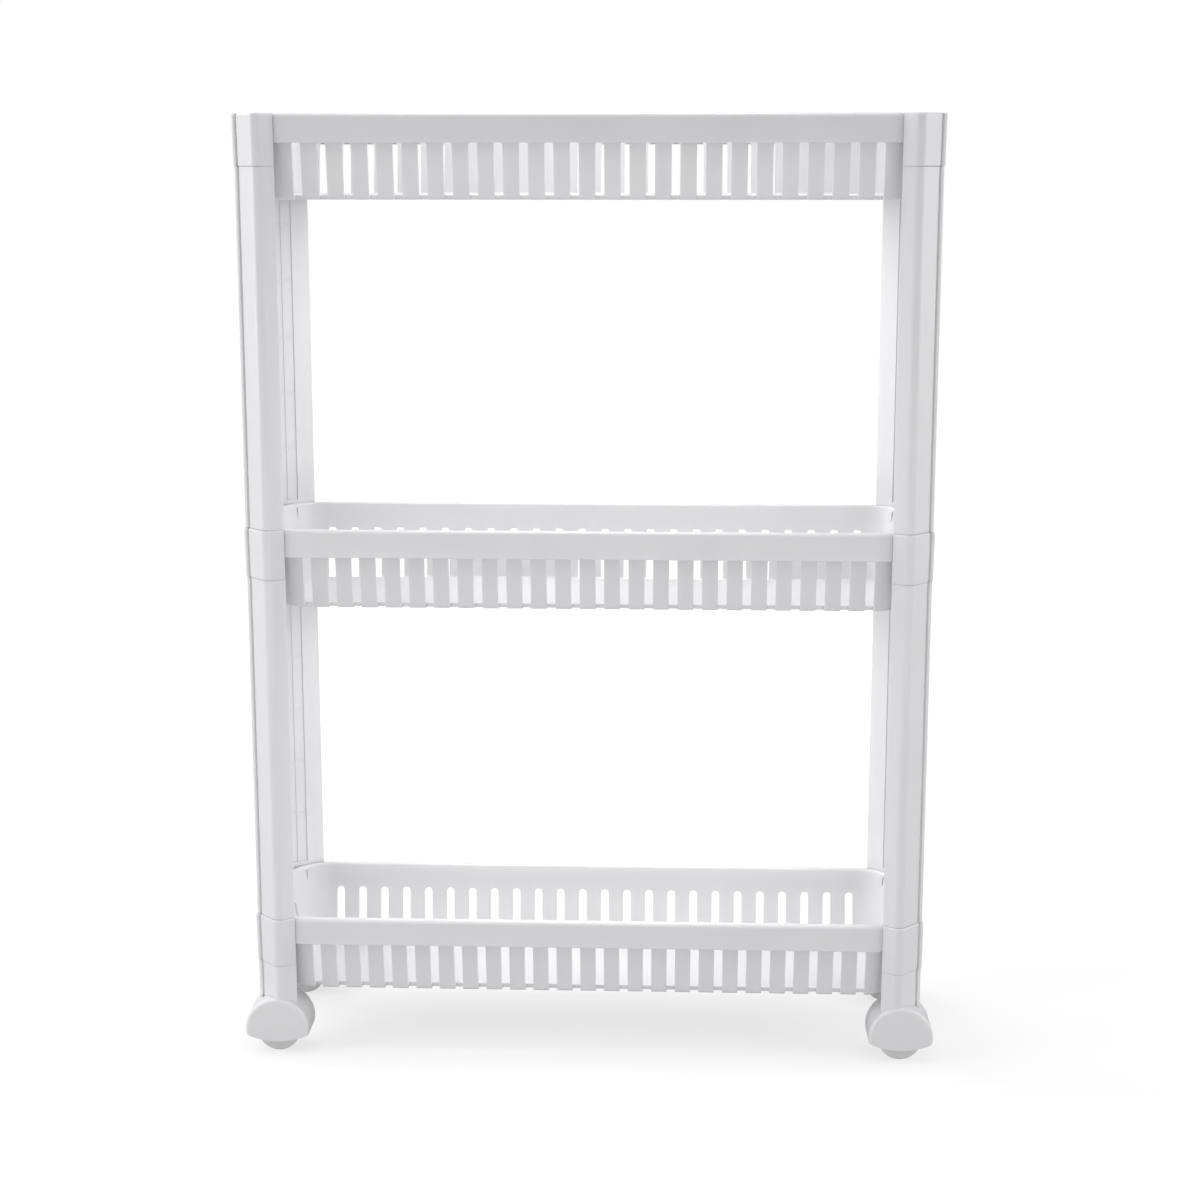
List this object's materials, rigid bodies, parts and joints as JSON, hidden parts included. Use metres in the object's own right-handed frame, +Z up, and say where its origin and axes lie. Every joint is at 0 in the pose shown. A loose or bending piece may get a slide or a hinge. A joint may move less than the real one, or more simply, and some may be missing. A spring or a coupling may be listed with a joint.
{
  "type": "rolling pantry cart",
  "caption": "Slim rolling pantry cart: three slatted basket shelves plugged onto ribbed corner posts, on four hooded roller feet.",
  "frame": {"origin": "on the floor, under the centre of the cart's bounding box", "axes": "+X along the length to the right, -Y towards the front, +Z up"},
  "size_m": [0.4744, 0.128, 0.64],
  "materials": {
    "basket_plastic": "white moulded polypropylene, satin-gloss",
    "post_plastic": "white moulded polypropylene, satin-gloss",
    "wheel_plastic": "off-white nylon, scuffed tread",
    "steel": "zinc-plated steel"
  },
  "bodies": {
    "cart_frame": {"bottom_basket": "basket_plastic", "middle_basket": "basket_plastic", "top_basket": "basket_plastic", "lower_post_front_left": "post_plastic", "lower_post_front_right": "post_plastic", "lower_post_back_left": "post_plastic", "lower_post_back_right": "post_plastic", "upper_post_front_left": "post_plastic", "upper_post_front_right": "post_plastic", "upper_post_back_left": "post_plastic", "upper_post_back_right": "post_plastic", "roller_foot_front_left": "post_plastic", "wheel_axle_front_left": "steel", "socket_plug_front_left": "basket_plastic", "roller_foot_front_right": "post_plastic", "wheel_axle_front_right": "steel", "socket_plug_front_right": "basket_plastic", "roller_foot_back_left": "post_plastic", "wheel_axle_back_left": "steel", "socket_plug_back_left": "basket_plastic", "roller_foot_back_right": "post_plastic", "wheel_axle_back_right": "steel", "socket_plug_back_right": "basket_plastic"},
    "roller_front_left": {"wheel_front_left": "wheel_plastic"},
    "roller_front_right": {"wheel_front_right": "wheel_plastic"},
    "roller_back_left": {"wheel_back_left": "wheel_plastic"},
    "roller_back_right": {"wheel_back_right": "wheel_plastic"}
  },
  "joints": [
    {"name": "roll_front_left", "type": "hinge", "parent": "cart_frame", "child": "roller_front_left", "pos_m": [-0.2152, -0.0498, 0.015], "axis": [0, 1, 0], "continuous": true},
    {"name": "roll_front_right", "type": "hinge", "parent": "cart_frame", "child": "roller_front_right", "pos_m": [0.2152, -0.0498, 0.015], "axis": [0, 1, 0], "continuous": true},
    {"name": "roll_back_left", "type": "hinge", "parent": "cart_frame", "child": "roller_back_left", "pos_m": [-0.2152, 0.0498, 0.015], "axis": [0, 1, 0], "continuous": true},
    {"name": "roll_back_right", "type": "hinge", "parent": "cart_frame", "child": "roller_back_right", "pos_m": [0.2152, 0.0498, 0.015], "axis": [0, 1, 0], "continuous": true}
  ]
}
